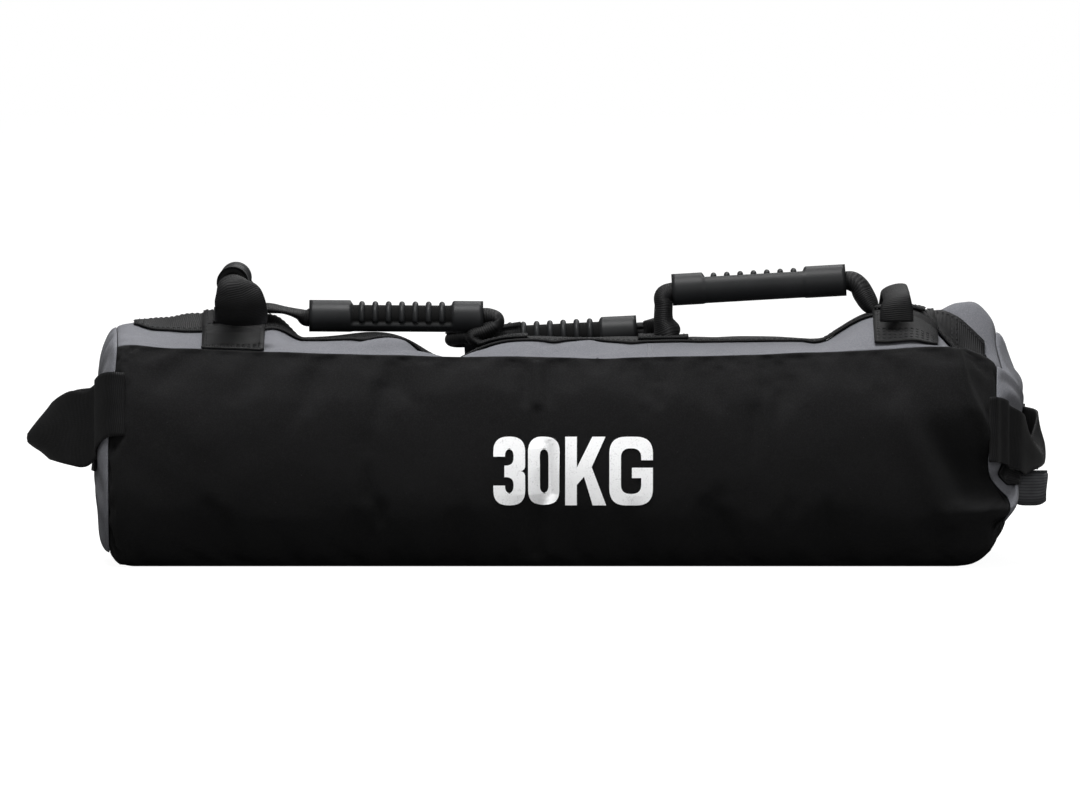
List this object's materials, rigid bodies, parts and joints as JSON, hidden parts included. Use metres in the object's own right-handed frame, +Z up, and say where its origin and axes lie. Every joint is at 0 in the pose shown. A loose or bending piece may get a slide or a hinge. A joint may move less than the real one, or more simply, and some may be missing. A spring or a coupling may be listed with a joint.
{
  "type": "sandbag trainer",
  "caption": "Duffel-shaped sand-filled training bag with ribbed rubber grips along its top, webbing end handles, a zipped top edge and inner filler bags.",
  "frame": {"origin": "on the flat resting face, below the middle of the bag's length and depth", "axes": "+X along the bag towards its leaning end, -Y out of the side that carries the weight mark, +Z up"},
  "size_m": [0.8278, 0.208, 0.2356],
  "materials": {
    "black_fabric": "matt woven",
    "grey_fabric": "matt woven",
    "black_webbing": "ribbed webbing",
    "grey_webbing": "ribbed webbing",
    "grip_rubber": "satin moulded",
    "zip_metal": "dark satin",
    "filler_fabric": "coated cloth, filled with sand"
  },
  "bodies": {
    "shell": {"centre_band": "black_webbing", "cross_strap_left": "black_webbing", "cross_strap_right": "black_webbing", "end_disc_left": "grey_fabric", "end_disc_right": "grey_fabric", "end_patch_left_far": "black_webbing", "end_patch_left_near": "black_webbing", "end_patch_right_far": "black_webbing", "end_patch_right_near": "black_webbing", "filler_bag_1": "filler_fabric", "filler_bag_2": "filler_fabric", "filler_bag_3": "filler_fabric", "filler_bag_4": "filler_fabric", "filler_flap_1": "filler_fabric", "filler_flap_2": "filler_fabric", "filler_flap_3": "filler_fabric", "filler_flap_4": "filler_fabric", "handle_patch_1": "black_webbing", "handle_patch_2": "black_webbing", "handle_patch_3": "black_webbing", "handle_patch_4": "black_webbing", "loop_tab_right": "grey_webbing", "side_panel": "black_fabric", "top_panel": "grey_fabric", "zip_coil_inner": "black_webbing", "zip_coil_outer": "black_webbing", "zip_stop_left": "zip_metal", "zip_stop_right": "zip_metal", "zip_tape_inner": "black_webbing", "zip_tape_outer": "black_webbing"},
    "left_handle": {"left_handle_strap": "black_webbing", "left_grip": "grip_rubber"},
    "middle_handle": {"middle_handle_strap": "black_webbing", "middle_grip": "grip_rubber"},
    "right_handle": {"right_handle_strap": "black_webbing", "right_grip": "grip_rubber"},
    "left_cross_handle": {"left_cross_handle_strap": "black_webbing", "left_cross_grip": "grip_rubber"},
    "right_cross_handle": {"right_cross_handle_strap": "black_webbing"},
    "left_end_handle": {"end_handle_left": "black_webbing"},
    "right_end_handle": {"end_handle_right": "black_webbing"},
    "zip_slider": {"zip_slider": "zip_metal"},
    "zip_pull": {"zip_pull": "zip_metal"}
  },
  "joints": [
    {"name": "left_handle_swing", "type": "hinge", "parent": "shell", "child": "left_handle", "pos_m": [-0.23406, 0, 0.20327], "axis": [0.991, 0, -0.1336], "range_deg": [-17, 21]},
    {"name": "middle_handle_swing", "type": "hinge", "parent": "shell", "child": "middle_handle", "pos_m": [-0.02446, 0.012, 0.18231], "axis": [1, 0, 0.0074], "range_deg": [-9, 48]},
    {"name": "right_handle_swing", "type": "hinge", "parent": "shell", "child": "right_handle", "pos_m": [0.10402, 0, 0.18512], "axis": [0.9895, 0, 0.1447], "range_deg": [-73, 57]},
    {"name": "left_cross_handle_swing", "type": "hinge", "parent": "shell", "child": "left_cross_handle", "pos_m": [-0.254, -0.064, 0.19083], "axis": [0, 0.9892, -0.1465], "range_deg": [-47, 17]},
    {"name": "right_cross_handle_swing", "type": "hinge", "parent": "shell", "child": "right_cross_handle", "pos_m": [0.281, -0.066, 0.19487], "axis": [0, 0.9892, -0.1464], "range_deg": [-3, 29]},
    {"name": "left_end_handle_swing", "type": "hinge", "parent": "shell", "child": "left_end_handle", "pos_m": [-0.37333, -0.056, 0.099], "axis": [-0.0009, 1, 0], "range_deg": [-51, 53]},
    {"name": "right_end_handle_swing", "type": "hinge", "parent": "shell", "child": "right_end_handle", "pos_m": [0.37185, -0.056, 0.088], "axis": [0.1052, 0.9944, 0], "range_deg": [-53, 3]},
    {"name": "zip_slide", "type": "slide", "parent": "shell", "child": "zip_slider", "axis": [1, 0, 0], "range_m": [-0.567, 0.002]},
    {"name": "zip_pull_swing", "type": "hinge", "parent": "zip_slider", "child": "zip_pull", "pos_m": [0.28399, 0.071, 0.156], "axis": [0, 1, 0], "range_deg": [0, 150]}
  ]
}
